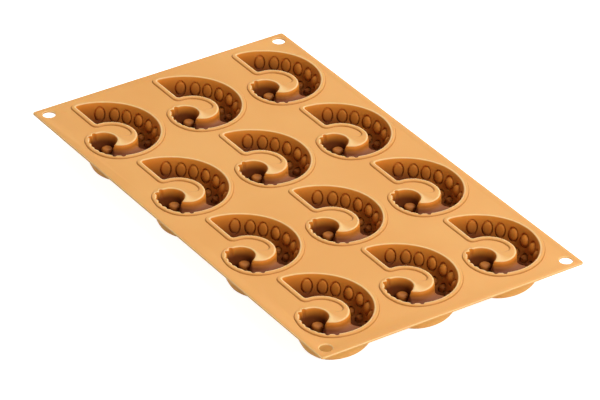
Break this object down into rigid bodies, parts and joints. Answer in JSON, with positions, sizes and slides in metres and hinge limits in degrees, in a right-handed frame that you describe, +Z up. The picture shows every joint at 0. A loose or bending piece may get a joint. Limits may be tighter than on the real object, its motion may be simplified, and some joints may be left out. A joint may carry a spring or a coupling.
{
  "type": "silicone cake mould",
  "caption": "Flexible silicone baking mould: a flat rectangular sheet with a grid of deep cavities shaped like curled tentacles with suckers, raised rims and corner hanging holes.",
  "frame": {"origin": "on the surface the mould stands on, under the middle of the sheet", "axes": "+X along the sheet's long side, +Y along its short side from the curls' flat bases towards their backs, +Z up, out of the cavities"},
  "size_m": [0.3, 0.175, 0.0193],
  "materials": {
    "silicone": "satin"
  },
  "bodies": {
    "root": {"sheet": "silicone", "cup_row1_column1": "silicone", "cup_row1_column2": "silicone", "cup_row1_column3": "silicone", "cup_row1_column4": "silicone", "cup_row2_column1": "silicone", "cup_row2_column2": "silicone", "cup_row2_column3": "silicone", "cup_row2_column4": "silicone", "cup_row3_column1": "silicone", "cup_row3_column2": "silicone", "cup_row3_column3": "silicone", "cup_row3_column4": "silicone", "rim_row1_column1": "silicone", "rim_row1_column2": "silicone", "rim_row1_column3": "silicone", "rim_row1_column4": "silicone", "rim_row2_column1": "silicone", "rim_row2_column2": "silicone", "rim_row2_column3": "silicone", "rim_row2_column4": "silicone", "rim_row3_column1": "silicone", "rim_row3_column2": "silicone", "rim_row3_column3": "silicone", "rim_row3_column4": "silicone", "tongue_row1_column1": "silicone", "tongue_row1_column2": "silicone", "tongue_row1_column3": "silicone", "tongue_row1_column4": "silicone", "tongue_row2_column1": "silicone", "tongue_row2_column2": "silicone", "tongue_row2_column3": "silicone", "tongue_row2_column4": "silicone", "tongue_row3_column1": "silicone", "tongue_row3_column2": "silicone", "tongue_row3_column3": "silicone", "tongue_row3_column4": "silicone"}
  },
  "joints": []
}
